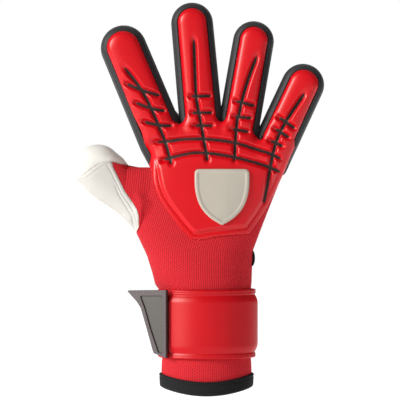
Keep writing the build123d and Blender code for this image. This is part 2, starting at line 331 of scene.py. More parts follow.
grain, grain_in, grain_out = add_group(
    "grain", [("Scale", "NodeSocketFloat", 900.0), ("Depth", "NodeSocketFloat", 0.3)],
    [("Value", "NodeSocketFloat"), ("Patches", "NodeSocketFloat"), ("Normal", "NodeSocketVector")])
where = grain.nodes.new("ShaderNodeTexCoord")
fine = grain.nodes.new("ShaderNodeTexNoise")
fine.inputs["Detail"].default_value = 3
patches = grain.nodes.new("ShaderNodeTexNoise")
patches.inputs["Scale"].default_value = 38
patches.inputs["Detail"].default_value = 4
bump = grain.nodes.new("ShaderNodeBump")
bump.inputs["Distance"].default_value = 0.0003
grain.links.new(where.outputs["Object"], fine.inputs["Vector"])
grain.links.new(where.outputs["Object"], patches.inputs["Vector"])
grain.links.new(grain_in.outputs["Scale"], fine.inputs["Scale"])
grain.links.new(grain_in.outputs["Depth"], bump.inputs["Strength"])
grain.links.new(fine.outputs["Fac"], bump.inputs["Height"])
grain.links.new(fine.outputs["Fac"], grain_out.inputs["Value"])
grain.links.new(patches.outputs["Fac"], grain_out.inputs["Patches"])
grain.links.new(bump.outputs["Normal"], grain_out.inputs["Normal"])

def finish(name, roughness, sheen=0.0, specular=0.5, coat=0.0):
    """A new material with its own surface shader."""
    material = bpy.data.materials.new(name)
    material.use_nodes = True
    shader = material.node_tree.nodes["Principled BSDF"]
    shader.inputs["Roughness"].default_value = roughness
    shader.inputs["Sheen Weight"].default_value = sheen
    shader.inputs["Specular IOR Level"].default_value = specular
    shader.inputs["Coat Weight"].default_value = coat
    return material, material.node_tree, shader


def use_group(tree, group, **values):
    node = tree.nodes.new("ShaderNodeGroup")
    node.node_tree = group
    for label, value in values.items():
        node.inputs[label].default_value = value
    return node


def two_tone(tree, share, low, high):
    """A mix of two colours by a mask."""
    mix = tree.nodes.new("ShaderNodeMix")
    mix.data_type = "RGBA"
    mix.inputs["A"].default_value, mix.inputs["B"].default_value = (*low, 1), (*high, 1)
    tree.links.new(share, mix.inputs["Factor"])
    return mix.outputs["Result"]


def grained(name, low, high, roughness, scale, depth, **looks):
    """A coated or rubbery finish: two close tones in soft patches over a fine grain."""
    material, tree, shader = finish(name, roughness, **looks)
    group = use_group(tree, grain, Scale=scale, Depth=depth)
    tree.links.new(two_tone(tree, group.outputs["Patches"], low, high), shader.inputs["Base Color"])
    tree.links.new(group.outputs["Normal"], shader.inputs["Normal"])
    return material


PANEL_INSET = 4.6
PANEL_PAD = 2.9
PANEL_WALL = 3.2
ROLL = 3.4                       # how far in from an edge the pad reaches its full height
FLANGE, FLANGE_RISE = 3.8, 7.0
CHANNEL_FLOOR, CHANNEL_TOP = 0.9, 3.0
WEBS = [(-19.8, 192.6), (10.9, 194.2), (38.9, 181.0)]
WEB_ENDS = {"index": (52, 63), "middle": (68, 69.5), "ring": (57.5, 65.5), "little": (45.8, 44)}
PANEL_LEFT = [(-47.6, 187), (-43.5, 172), (-40.2, 161), (-37.6, 145), (-32.5, 134.5), (-24.5, 124),
              (-17.3, 114.8), (-11.2, 109)]
PANEL_RIGHT = [(64.6, 175.5), (60.5, 166), (57.0, 157.5), (52.2, 147), (47.2, 137), (40.6, 126),
               (35.2, 118.6), (31.0, 112.6)]
PANEL_FOOT = [(-11.2, 109), (-5.5, 108.2), (0, 109.4), (8.2, 110.6), (18, 111.6), (26.8, 112.4),
              (31.0, 112.6)]
SEAMS = [[(-19.8, 192.6), (-10, 150), (-5.5, 108.2)], [(10.9, 194.2), (9, 150), (8.2, 110.6)],
         [(38.9, 181.0), (25, 150), (18, 111.6)]]
LONG_CHANNELS = {
    "index": [(-5.6, 11.5), (0.4, 32.3), (1.6, 47), (1.9, 62), (1.8, 76), (-0.5, 93)],
    "middle": [(0.3, 9.6), (-1.5, 41.4), (-2.1, 56), (-0.4, 72), (0.8, 86), (2.1, 102.5)],
    "ring": [(4.7, 8), (1, 25.8), (-1.1, 43.7), (-1.3, 54.7), (-2.1, 60), (-0.7, 76), (1.2, 90)],
    "little": [(3.9, 3), (-0.4, 29.2), (-0.9, 46), (2.9, 63.5), (8.3, 82), (10.4, 91.5)],
}
CROSS_CHANNELS = {
    "index": [[(-9.5, 24), (-0.3, 33.8), (10.7, 42.7)], [(-8.7, 39.4), (1.3, 49.1), (9.9, 54.6)],
              [(-8.4, 54.8), (2.2, 63), (10.4, 66.6)]],
    "middle": [[(-7.9, 53.7), (8.5, 54.8)], [(-8.2, 65.7), (8.4, 67)], [(-7.1, 75.2), (8.2, 76.5)]],
    "ring": [[(-7.8, 45.8), (8.5, 46.9)], [(-6.7, 57.2), (7.8, 56.4)], [(-6.7, 66.7), (7.5, 66.4)]],
    "little": [[(-8.4, 29.2), (7.4, 32)], [(-7.2, 38.1), (6.5, 39.8)], [(-7, 47.8), (5.1, 47.5)]],
}
KNUCKLE_ARCS = [[(-40.4, 179.2), (-29.1, 179.5), (-14.8, 181.5), (-0.4, 181.5), (20.3, 179.1),
                 (36.2, 173.9), (48.2, 170.3), (55.3, 166)],
                [(-35.4, 164.8), (-24.3, 168.3), (-12.3, 171.1), (-0.4, 171.5), (20.3, 168.3),
                 (35.4, 164.3), (46.6, 160.7), (54.6, 157.1)]]


def finger_edge(digit, side, near, far, inset=PANEL_INSET, count=24):
    """The edge of a panel along one side of a digit, from one distance below its tip to another."""
    below = np.linspace(near, far, count)
    return np.column_stack(from_digit(digit, side * (digit_half(digit, np.maximum(below, 0)) - inset), below))


def web_side(name, side, web, inset, drop=(2.4, 0.9)):
    """The edge of a layer from a finger's root round the side of the web beside it."""
    digit = DIGITS[name]
    end = WEB_ENDS[name][(side + 1) // 2]
    edge = finger_edge(digit, side, digit["root"], end, inset, 8)
    corner = (web[0] - side * drop[0], web[1] + drop[1])
    return np.vstack([edge[:4], smooth_path(np.vstack([edge[4:], corner, web]))])


def panel_outline():
    """The whole edge of the padded back, round all four fingers."""
    path = [smooth_path(PANEL_LEFT)[::-1]]
    for number, name in enumerate(FINGERS):
        digit = DIGITS[name]
        radius = digit["half"][0] - PANEL_INSET
        turn = np.linspace(math.pi, 0, 24)
        if number:
            path.append(web_side(name, -1, WEBS[number - 1], PANEL_INSET)[::-1])
        path.append(finger_edge(digit, -1, digit["root"], 0))
        path.append(np.column_stack(from_digit(digit, radius * np.cos(turn), -radius * np.sin(turn))))
        path.append(finger_edge(digit, 1, 0, digit["root"]))
        if number < 3:
            path.append(web_side(name, 1, WEBS[number], PANEL_INSET))
    path += [smooth_path(PANEL_RIGHT), smooth_path(PANEL_FOOT)[::-1]]
    return np.vstack(path)


def channel_marks():
    """Points along every channel, with its depth there and how black its floor is."""
    marks = []
    paths = [(smooth_path(np.column_stack(from_digit(DIGITS[name], *np.array(path, float).T))), 9, 3, 2)
             for name, path in LONG_CHANNELS.items()]
    paths += [(smooth_path(np.column_stack(from_digit(DIGITS[name], *np.array(path, float).T)), 2), 3, 1.2,
               5.5)
              for name, group in CROSS_CHANNELS.items() for path in group]
    paths += [(smooth_path(path), 5, 4, 9) for path in KNUCKLE_ARCS]
    for path, fade_in, fade_out, ink_from in paths:
        length = np.hypot(*np.diff(path, axis=0).T).sum()
        share = np.linspace(0, 1, int(length / 0.4) + 2)
        x, z = walk(path, share)
        depth = np.minimum(smoothstep(-0.5, fade_in, share * length),
                           smoothstep(-0.5, fade_out, (1 - share) * length))
        ink = depth * smoothstep(0.35 * ink_from, ink_from, share * length)
        marks.append(np.column_stack([x, z, depth, ink]))
    return np.vstack(marks)


def distance_to(path, x, z):
    """How far places lie from a path."""
    near, far = path[:-1], path[1:]
    best = np.full(len(x), 1e9)
    for (ax, az), (bx, bz) in zip(near, far):
        dx, dz = bx - ax, bz - az
        share = np.clip(((x - ax) * dx + (z - az) * dz) / (dx * dx + dz * dz + 1e-12), 0, 1)
        best = np.minimum(best, np.hypot(x - ax - share * dx, z - az - share * dz))
    return best


OUTLINE = panel_outline()
MARKS = channel_marks()


def padding(x, z):
    """The pad's height over the hand and how black its channels are."""
    edge = distance_to(OUTLINE, x, z)
    rolled = 0.2 + PANEL_PAD * np.sqrt(1 - (1 - np.clip(edge / ROLL, 0, 1)) ** 2)
    pressed = 1.0 - 0.55 * np.exp(-((edge - FLANGE) / 0.5) ** 2)
    pressed = pressed + (PANEL_PAD - 0.8) * smoothstep(FLANGE, FLANGE_RISE, edge)
    pressed *= smoothstep(-0.3, 0.7, edge)
    height = rolled + (pressed - rolled) * smoothstep(177, 153, z)
    groove, black = np.zeros(len(x)), np.zeros(len(x))
    for part in np.array_split(np.arange(len(x)), max(1, len(x) // 4000)):
        away = np.hypot(x[part, None] - MARKS[None, :, 0], z[part, None] - MARKS[None, :, 1])
        wall = np.clip((CHANNEL_TOP - away) / (CHANNEL_TOP - CHANNEL_FLOOR), 0, 1)
        groove[part] = (MARKS[:, 2] * wall).max(axis=1)
        inked = smoothstep(1.0, 0.6, away / (0.5 + MARKS[:, 2]))
        black[part] = (smoothstep(0.2, 0.6, MARKS[:, 3]) * inked).max(axis=1)
    groove = np.where(groove < 0.5, 2 * groove ** 2, 1 - 2 * (1 - groove) ** 2) * 0.5 + groove * 0.5
    return height * (1 - 0.93 * groove), black


def back_at(x, z):
    """Places on the padded back, with the mark of the black floors."""
    height, black = padding(x, z)
    return x, -(thickness(x, z) + height), z, black


satin = grained("satin coated red", (0.60, 0.0004, 0.005), (0.70, 0.0008, 0.008), 0.34, 1500, 0.08,
                specular=0.38)
satin_tree = satin.node_tree
satin_shader = satin_tree.nodes["Principled BSDF"]
mark = satin_tree.nodes.new("ShaderNodeAttribute")
mark.attribute_name = "mark"
base = satin_shader.inputs["Base Color"].links[0].from_socket
blacked = satin_tree.nodes.new("ShaderNodeMix")
blacked.data_type = "RGBA"
blacked.inputs["B"].default_value = (0.010, 0.006, 0.006, 1)
satin_tree.links.new(mark.outputs["Fac"], blacked.inputs["Factor"])
satin_tree.links.new(base, blacked.inputs["A"])
satin_tree.links.new(blacked.outputs["Result"], satin_shader.inputs["Base Color"])
dull = satin_tree.nodes.new("ShaderNodeMapRange")
dull.inputs["To Min"].default_value, dull.inputs["To Max"].default_value = 0.34, 0.62
satin_tree.links.new(mark.outputs["Fac"], dull.inputs["Value"])
satin_tree.links.new(dull.outputs["Result"], satin_shader.inputs["Roughness"])

def strip_place(sides, at, cut=0.2):
    """Places on a strip between two sides, each an upper edge and, past the cut, a lower one."""
    def place(across, along):
        ends = []
        for upper, lower in sides:
            ux, uz = walk(upper, np.clip(along / cut, 0, 1))
            lx, lz = walk(lower, np.clip((along - cut) / (1 - cut), 0, 1))
            ends.append((np.where(along < cut, ux, lx), np.where(along < cut, uz, lz)))
        (x0, z0), (x1, z1) = ends
        return at(x0 + (x1 - x0) * across, z0 + (z1 - z0) * across)
    return place


# the panel over the hand is four strips, one below each finger, that meet at their sides
strips = []
for number, name in enumerate(FINGERS):
    digit = DIGITS[name]
    sides = []
    for side, seam in ((-1, number - 1), (1, number)):
        if 0 <= seam < 3:
            upper, lower = web_side(name, side, WEBS[seam], PANEL_INSET), smooth_path(SEAMS[seam])
        else:
            edge = smooth_path(PANEL_LEFT if seam < 0 else PANEL_RIGHT)
            upper, lower = np.vstack([finger_edge(digit, side, digit["root"], digit["root"] + 1,
                                                  count=2)[:1], edge[:1]]), edge
        sides.append((upper, lower))
    strips.append(sheet(f"strip_{name}", 44, 130, strip_place(sides, back_at), on_plane, 0, satin, None))
hand_back = sew("hand_back_panel", strips, satin, PANEL_WALL, -1)
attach(hand_back, "hand")
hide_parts("backhand_panel", "knuckle_channels")


def tip_grid(across, along, low, radius, straight):
    """A grid that runs up a digit and ends in a half circle: across and below the tip."""
    side = 2 * across - 1
    rise = np.clip((along - straight) / (1 - straight), 0, 1)
    below = np.where(along < straight, low * (1 - along / straight),
                     -radius * rise * np.sqrt(1 - side ** 2 / 2))
    return side * np.sqrt(1 - rise ** 2 / 2), below


def bend(piece):
    """Bake a finger's layer's placement into its mesh."""
    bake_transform(piece)


def finger_place(digit, part, inset, straight, at):
    """Places on a finger's back or palm layer, below its middle joint or above it."""
    def place(across, along):
        if part == "lower":
            side, below = 2 * across - 1, digit["root"] + (digit["split"] - digit["root"]) * along
        else:
            side, below = tip_grid(across, along, digit["split"], digit["half"][0] - inset, straight)
        return at(*from_digit(digit, side * (digit_half(digit, np.maximum(below, 0)) - inset), below))
    return place


for name in FINGERS:
    for part, rows in (("lower", 26), ("upper", 80)):
        place = finger_place(DIGITS[name], part, PANEL_INSET, 0.62, back_at)
        piece = sheet(f"{name}_{part}_back_panel", 44, rows, place, on_plane, PANEL_WALL, satin, None,
                      round_end=part == "upper")
        bend(piece)
        node = "proximal" if part == "lower" else "distal"
        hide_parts(f"{name}_{node}_back", f"{name}_{node}_channel")

# ---------------------------------------------------------------- finger gussets
# A black neoprene strip runs up one side of each finger, over its tip and down the other,
# between the padded back and the palm. A ridge runs along it where its two halves are
# joined.
gusset = grained("black neoprene", (0.014, 0.015, 0.017), (0.026, 0.027, 0.030), 0.6, 2600, 0.25,
                 sheen=0.12, specular=0.35)
GUSSET_BACK, GUSSET_PALM = 47.0, -52.0      # degrees round the finger's section from its side


def gusset_at(digit, turn, below, radial):
    """Places on a finger's side: turn goes from the back's edge (90) to the palm's (-90)."""
    angle = np.radians(turn)
    swell = 1 + 0.018 * np.cos(angle) ** 2
    ridge = 0.55 * np.exp(-((turn - 33) / 3.2) ** 2) + 0.25 * np.exp(-((turn + 10) / 4) ** 2)
    outward = np.cos(angle) ** (2 / DIGIT_SQUARE) * swell
    depth = np.sign(angle) * np.abs(np.sin(angle)) ** (2 / DIGIT_SQUARE)
    half = np.where(radial, digit["half"][0], digit_half(digit, np.maximum(below, 0)))
    reach = half * outward + ridge * np.cos(angle)
    return reach, -(DIGIT_DEPTH * depth + ridge * np.sin(angle))


def side_place(digit, side, low, high, taper=None):
    """A gusset strip along one straight side of a digit."""
    def place(across, along):
        below = low + (high - low) * along
        back, front = GUSSET_BACK, GUSSET_PALM
        if taper:                   # the end comes to a point
            back = back - (back + 20) * smoothstep(*taper, below)
            front = front + 24 * smoothstep(taper[0] + 5, taper[1], below)
        turn = back + (front - back) * across
        reach, y = gusset_at(digit, turn, below, False)
        if taper:                   # and is tucked in under the palm
            tuck = smoothstep(-18, -42, turn) * smoothstep(taper[0] - 24, taper[0] - 8, below)
            reach, y = reach * (1 - 0.05 * tuck), y * (1 - 0.2 * tuck)
        x, z = from_digit(digit, side * reach, below)
        return x, y, z
    return place


def loop_place(digit, low, straight=0.36):
    """A gusset strip up one side of a finger, over its tip and down the other."""
    def place(across, along):
        turn = GUSSET_BACK + (GUSSET_PALM - GUSSET_BACK) * across
        rising = np.clip(along / straight, 0, 1)
        falling = np.clip((along - 1 + straight) / straight, 0, 1)
        round_tip = np.clip((along - straight) / (1 - 2 * straight), 0, 1)
        heading = np.pi * (1 - round_tip)
        below = np.where(along < straight, low * (1 - rising), low * falling)
        reach, y = gusset_at(digit, turn, below, (along >= straight) & (along <= 1 - straight))
        x, z = from_digit(digit, reach * np.cos(heading), below - reach * np.sin(heading))
        return x, y, z
    return place


def digit_core(digit):
    """The inner side of a layer round a digit: the nearest place on its middle line."""
    def core(places):
        _, below = to_digit(digit, places[:, 0], places[:, 2])
        x, z = from_digit(digit, 0, np.maximum(below, 0))
        return np.column_stack([x, np.zeros(len(x)), z])
    return core


GUSSET_WALL = 1.2
roots = []
ROOT_ENDS = {"index": (94, 78), "middle": (76, 74), "ring": (70, 74), "little": (62, 66)}
for name in FINGERS:
    digit = DIGITS[name]
    core = digit_core(digit)
    sides = [sheet(f"{name}_side_{side}", 16, 20, side_place(digit, side, digit["root"], digit["split"]),
                   core, GUSSET_WALL,
                   gusset, None) for side in (-1, 1)]
    lower = sew(f"{name}_lower_gusset", sides, gusset, GUSSET_WALL)
    bend(lower)
    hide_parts(f"{name}_proximal_gusset")
    upper = sheet(f"{name}_upper_gusset", 16, 110, loop_place(digit, digit["split"]), core, GUSSET_WALL,
                  gusset, None)
    bend(upper)
    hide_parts(f"{name}_distal_gusset")
    for side, end in zip((-1, 1), ROOT_ENDS[name]):
        outer = (name, side) in (("index", -1), ("little", 1))
        taper = (end - 15, end + 2) if outer else None
        place = side_place(digit, side, end, digit["root"], taper)
        roots.append(sheet(f"{name}_root_{side}", 16, 40, place, core, GUSSET_WALL, gusset, None))
root_gussets = sew("finger_root_gussets", roots, gusset, GUSSET_WALL)
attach(root_gussets, "hand")
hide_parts("hand_side_wall")

# ---------------------------------------------------------------- palm
# The palm is one cut of white foam latex with a plain matt face, from the wrist to the
# finger ends, sewn to the gussets at its edge.
PALM_INSET = 1.9
LATEX_WALL = 2.6
latex = grained("white foam latex", (0.75, 0.725, 0.66), (0.83, 0.81, 0.75), 0.72, 1300, 0.18, specular=0.35)
PALM_WEBS = [(-20.5, 200.5), (11.3, 204), (39.6, 188)]
PALM_LEFT = [(-49.5, 183), (-43, 168), (-40.3, 158), (-43.5, 145), (-47, 130), (-48.5, 116), (-44, 104)]
PALM_RIGHT = [(62.5, 171.5), (58, 162), (51.2, 147), (44.5, 130.5), (38, 115.5), (33, 104)]
PALM_FOOT = [(-44, 104), (-24, 102), (-6, 101), (12, 102), (33, 104)]


def palm_at(x, z):
    return x, thickness(x, z) + 0.6, z


palms = []
for number, name in enumerate(FINGERS):
    digit = DIGITS[name]
    sides = []
    for side, seam in ((-1, number - 1), (1, number)):
        top = finger_edge(digit, side, digit["root"], digit["root"] + 4, PALM_INSET, 3)
        if 0 <= seam < 3:
            upper = np.vstack([top[:2], PALM_WEBS[seam]])
            lower = smooth_path([PALM_WEBS[seam], (PALM_WEBS[seam][0] * 0.6, 150), PALM_FOOT[seam + 1]])
        else:
            edge = smooth_path(PALM_LEFT if seam < 0 else PALM_RIGHT)
            upper, lower = np.vstack([top[:1], edge[:1]]), edge
        sides.append((upper, lower))
    palms.append(sheet(f"palm_{name}", 26, 80, strip_place(sides, palm_at), on_plane, 0, latex, None))
palm = sew("palm", palms, latex, LATEX_WALL, 1)
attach(palm, "hand")
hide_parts("palm_latex", "palm_lining")

for name in FINGERS:
    for part, rows in (("lower", 18), ("upper", 50)):
        place = finger_place(DIGITS[name], part, PALM_INSET, 0.6, palm_at)
        piece = sheet(f"{name}_{part}_palm", 30, rows, place, on_plane, LATEX_WALL, latex, None,
                      round_end=part == "upper")
        bend(piece)
        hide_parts(f"{name}_{'proximal' if part == 'lower' else 'distal'}_palm")

# ---------------------------------------------------------------- body of the hand
# A red knit tube runs from inside the strap up under the padded back. It is sewn of one
# cloth, ribbed upright, and it is what bends at the wrist.

# the knit is a node group: upright ribs with a small hole between courses, on the UV map
def math_node(tree, operation, first, second=None):
    node = tree.nodes.new("ShaderNodeMath")
    node.operation = operation
    for socket, value in zip(node.inputs, (first, second)):
        if isinstance(value, (int, float)):
            socket.default_value = value
        elif value is not None:
            tree.links.new(value, socket)
    return node.outputs[0]


knit, knit_in, knit_out = add_group(
    "knit", [("Rib", "NodeSocketFloat", 0.0019), ("Course", "NodeSocketFloat", 0.0026),
             ("Depth", "NodeSocketFloat", 0.6)],
    [("Holes", "NodeSocketFloat"), ("Normal", "NodeSocketVector")])
where = knit.nodes.new("ShaderNodeUVMap")
where.uv_map = "cloth"
parts = knit.nodes.new("ShaderNodeSeparateXYZ")
knit.links.new(where.outputs["UV"], parts.inputs["Vector"])
ribs = math_node(knit, "DIVIDE", parts.outputs["X"], knit_in.outputs["Rib"])
half_step = math_node(knit, "MULTIPLY", math_node(knit, "FLOORED_MODULO", math_node(knit, "FLOOR", ribs),
                                                  2.0), 0.5)
courses = math_node(knit, "ADD", math_node(knit, "DIVIDE", parts.outputs["Y"], knit_in.outputs["Course"]),
                    half_step)
rib_wave = math_node(knit, "ABSOLUTE", math_node(knit, "SUBTRACT", math_node(knit, "FRACT", ribs), 0.5))
course_wave = math_node(knit, "ABSOLUTE", math_node(knit, "SUBTRACT", math_node(knit, "FRACT", courses), 0.5))
across_ribs = math_node(knit, "POWER", math_node(knit, "MULTIPLY", rib_wave, 2.0), 2.0)
across_courses = math_node(knit, "POWER", math_node(knit, "MULTIPLY", course_wave, 1.4), 2.0)
away = math_node(knit, "SQRT", math_node(knit, "ADD", across_ribs, across_courses))
hole = knit.nodes.new("ShaderNodeMapRange")
hole.interpolation_type = "SMOOTHSTEP"
hole.inputs["From Min"].default_value, hole.inputs["From Max"].default_value = 0.25, 0.75
hole.inputs["To Min"].default_value, hole.inputs["To Max"].default_value = 1, 0
knit.links.new(away, hole.inputs["Value"])
bump = knit.nodes.new("ShaderNodeBump")
bump.inputs["Distance"].default_value = -0.0006
knit.links.new(knit_in.outputs["Depth"], bump.inputs["Strength"])
knit.links.new(hole.outputs["Result"], bump.inputs["Height"])
knit.links.new(hole.outputs["Result"], knit_out.inputs["Holes"])
knit.links.new(bump.outputs["Normal"], knit_out.inputs["Normal"])


def knitted(name, low, high, rib, course, depth, roughness=0.8, sheen=0.04):
    """A knit: its holes are the darker tone."""
    material, tree, shader = finish(name, roughness, sheen=sheen, specular=0.2)
    group = use_group(tree, knit, Rib=rib, Course=course, Depth=depth)
    tree.links.new(two_tone(tree, group.outputs["Holes"], high, low), shader.inputs["Base Color"])
    tree.links.new(group.outputs["Normal"], shader.inputs["Normal"])
    return material


def round_axis(centre_x=0.0):
    """The inner side of a layer that goes round an upright axis."""
    return lambda places: np.column_stack([np.full(len(places), centre_x), np.zeros(len(places)),
                                           places[:, 2]])


knit_red = knitted("red rib knit", (0.43, 0.006, 0.014), (0.64, 0.014, 0.024), 0.0016, 0.0021, 0.65)
HAND_LEFT_HEIGHTS = (0, 70, 75, 84, 97, 113, 160, 175)
HAND_LEFT = (-33, -34.5, -38.2, -40.4, -44.4, -51.9, -42, -44)


def ring_at(across, z, under=0.0):
    """A closed section of the hand at a height: places from its left end round the back."""
    left, right = np.interp(z, HAND_LEFT_HEIGHTS, HAND_LEFT), np.interp(z, BODY_HEIGHTS, BODY_RIGHT)
    turn = 2 * np.pi * across
    x = (left + right) / 2 - ((right - left) / 2 - 0.5 - under) * np.cos(turn)
    side = np.where(np.abs(np.sin(turn)) < 1e-6, 0, -np.sign(np.sin(turn)))
    return x, side * np.maximum(thickness(x, z) - 0.4 - under, 0.3), z


def hand_place(across, along):
    z = 66 + 104 * along
    x, y, z = ring_at(across, z)
    folds = 0.5 * np.exp(-((z - 80 - 0.05 * x) / 2.4) ** 2) + 0.35 * np.exp(-((z - 88 + 0.08 * x) / 2.2) ** 2)
    return x, y * (1 - 0.045 * folds), z


hand_tube = sheet("hand_body_knit", 128, 90, hand_place, round_axis(-3), 1.3, knit_red, None,
                  join_sides=True)
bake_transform(hand_tube)
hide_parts("backhand_mesh", "wrist_mesh")

# a smooth red edge, bound over the knit where the thumb's seam runs down to the wrist
edge_red = grained("smooth dark red", (0.42, 0.002, 0.012), (0.52, 0.004, 0.018), 0.45, 1500, 0.1)


def edge_place(across, along):
    z = 96 + 17.5 * along
    left = np.interp(z, HAND_LEFT_HEIGHTS, HAND_LEFT)
    turn = np.pi * (across - 0.5)
    width = 2.4 * np.sin(np.pi * np.clip(along, 0.03, 0.97)) ** 0.5
    return left + 0.2 + 1.5 * width * (1 - np.cos(turn)), 3.0 * np.sin(turn) * width, z


thumb_side = sheet("thumb_side_edge", 14, 24, edge_place, round_axis(-3), 0.9, edge_red, "hand")

# ---------------------------------------------------------------- thumb
# The thumb is a white latex tube with a capped end. A padded white patch lies along its
# outer side, and the red knit covers the rest and the web up to the hand.
THUMB = DIGITS["thumb"]
THUMB_BASE = (Vector((-43, 0, 155.8)) * MM, Vector((-57.1, 0, 158.3)) * MM)
THUMB_TIP = [Vector((x, 0, z)) * MM for x, z in (from_digit(THUMB, 0, below) for below in (21, 4))]
CAP_SEAM = np.array([(-19, -7.5), (-12, -3.7), (-4, -2.4), (3.6, -0.9), (9.9, 4.0), (17, 14.5), (20, 18)])
PATCH_SEAM = np.array([(9.9, 4.0), (6.2, 14.8), (2.3, 26), (0.6, 35.4), (-1.1, 42.6), (-3.7, 46.8),
                       (-9.0, 52.0), (-13.6, 53.5)])
WEB_EDGE = np.array([(9.9, 4.0), (16.5, 14.2), (21, 20.9), (26.5, 26.5)])


def lift(x, z, back, height):
    """Places on the back or palm side of the hand, raised by a height."""
    return x, (-1 if back else 1) * (thickness(x, z) + height), z


def thumb_tube(across, along, low, high):
    below = np.where(high < 0, low - (low - high) * np.sin(np.pi / 2 * along), low + (high - low) * along)
    turn = 2 * np.pi * across
    x, z = from_digit(THUMB, -digit_half(THUMB, below) * np.cos(turn), below)
    side = np.where(np.abs(np.sin(turn)) < 1e-6, 0, -np.sign(np.sin(turn)))
    height, u = thickness(x, z), to_digit(THUMB, x, z)[0]
    past = np.interp(u, CAP_SEAM[:, 0], CAP_SEAM[:, 1]) - below
    cap = 0.75 * smoothstep(-0.5, 0.5, past) - 0.5 * np.exp(-((past + 0.2) / 0.5) ** 2)
    puff = 0.6 * smoothstep(0, 5, past) * smoothstep(14, 5, past)
    seam = np.interp(below, PATCH_SEAM[:, 1], PATCH_SEAM[:, 0])
    tucked = 2.2 * smoothstep(-1, 1.5, u - seam) * smoothstep(2, 8, below) + 1.5 * smoothstep(36, 44, below)
    tucked = np.where(side < 0, tucked, 1.2 * smoothstep(40, 46, below))
    return x, side * np.maximum(height - tucked + np.where(side < 0,
                                                           (cap + puff) * smoothstep(0, 3, height), 0),
                                                           0), z


for part, low, high, bodies, joint in (("lower", 58, 26, ("hand", "thumb_base"), THUMB_BASE),
                                       ("upper", 26, -17.2, ("thumb_base", "thumb_tip"), THUMB_TIP)):
    tube = sheet(f"thumb_{part}_palm", 96, 70, lambda across, along, low=low,
                 high=high: thumb_tube(across, along, low, high),
                 digit_core(THUMB), 1.5, latex, None, join_sides=True)
    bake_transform(tube)
    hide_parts(f"thumb_{'base' if part == 'lower' else 'tip'}_palm",
                f"thumb_{'base' if part == 'lower' else 'tip'}_gusset")

white_vinyl = grained("white coated cloth", (0.585, 0.56, 0.51), (0.64, 0.62, 0.575), 0.5, 1100, 0.12)


def patch_place(across, along, low, high):
    """The white patch: from the thumb's outer side to the seam with the knit."""
    below = low + (high - low) * along
    seam = np.interp(below, PATCH_SEAM[:, 1], PATCH_SEAM[:, 0])
    outer = -digit_half(THUMB, np.maximum(below, 0)) * 0.955
    top = np.interp(outer + (seam - outer) * across, CAP_SEAM[:, 0], CAP_SEAM[:, 1]) + 0.5
    below = np.where(along > 0.7, below + (top - high) * smoothstep(0.7, 1, along),
                     below) if high < 5 else below
    u = outer + (seam - outer) * (1 - (1 - across) ** 1.3)
    x, z = from_digit(THUMB, u, below)
    edge = np.minimum(seam - u, np.abs(below - top) if high < 5 else 99.0)
    rolled = np.sqrt(1 - (1 - np.clip(edge / 1.6, 0, 1)) ** 2)
    height = 0.25 + 0.9 * rolled - 0.35 * np.exp(-((edge - 3.0) / 0.5) ** 2)
    crease = np.exp(-((edge - 5.4 - 0.05 * (below - 30)) / 0.8) ** 2)
    height -= 0.45 * crease * smoothstep(14, 24, below) * smoothstep(50, 44, below)
    return lift(x, z, True, height)


WEB_HAND = smooth_path([(-42.2, 160.6), (-40, 157), (-41.5, 145), (-45, 127), (-50.6, 113.4)])
WEB_SEAM = smooth_path(np.column_stack(from_digit(THUMB, *PATCH_SEAM[2:].T)))
WEB_NEAR = np.vstack([from_digit(THUMB, 16.5, 14.2), WEB_SEAM])


def upper_web_place(across, along, back, height):
    """The web beside the thumb's end, as far as the seam where the thumb's own bend begins."""
    below = 5 + 22 * along
    seam = np.interp(below, PATCH_SEAM[:, 1], PATCH_SEAM[:, 0])
    edge = np.interp(below, (4.0, 14.2, 15.2, 27.0), (9.9, 16.5, 17.0, 3.2))
    x, z = from_digit(THUMB, seam + (edge - seam) * np.clip(across / 0.9, 0, 1), below)
    over = 1 - np.clip((across - 0.9) / 0.1, 0, 1) ** 1.5 * smoothstep(17, 13, below)
    return x, (-1 if back else 1) * (thickness(x, z) + height) * over, z


def lower_web_place(across, along, back, height):
    """The web below it, stretched straight from the thumb to the hand, with a closed top edge."""
    down = np.clip((along - 0.08) / 0.92, 0, 1)
    sx, sz = walk(WEB_NEAR, down)
    hx, hz = walk(WEB_HAND, down)
    x, z = sx + (hx - sx) * across, sz + (hz - sz) * across
    z = z - 0.8 * np.sin(np.pi * across) * smoothstep(0.3, 0, down)
    taut = thickness(sx, sz) * (1 - across) + thickness(hx, hz) * across
    deep = np.maximum(thickness(x, z), taut) + height - 0.9 * smoothstep(0.5, 1, across)
    over = 1 - (1 - np.clip(along / 0.08, 0, 1)) ** 1.5
    return x, (-1 if back else 1) * deep * over, z


for part, low, high, bodies, joint in (("lower", 53, 26, ("hand", "thumb_base"), THUMB_BASE),
                                       ("upper", 26, 1.5, ("thumb_base", "thumb_tip"), THUMB_TIP)):
    patch = sheet(f"thumb_{part}_white_patch", 60, 60, lambda across, along, low=low,
                  high=high: patch_place(across, along, low, high),
                  on_plane, 1.4, white_vinyl, None)
    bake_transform(patch)
    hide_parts(f"thumb_{'base' if part == 'lower' else 'tip'}_back")
    web, cut, area = lower_web_place, (0.025, 0.059), 0.00089
    if part == "upper":
        web, cut, area = upper_web_place, (0.020, 0.0222), 0.00022
    for back, fabric, label, slot in ((True, knit_red, "knit", "red_mesh"),
                                      (False, latex, "latex", "palm_latex")):
        side = sheet(f"thumb_{part}_web_{label}", 50, 50,
                     lambda across, along, web=web, back=back,
                     part=part: web(across, along, back,
                                    (0.55 if back else 0.4) - (0.15 if part == "upper" else 0)),
                     on_plane, 0.9, fabric, None)
        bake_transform(side)


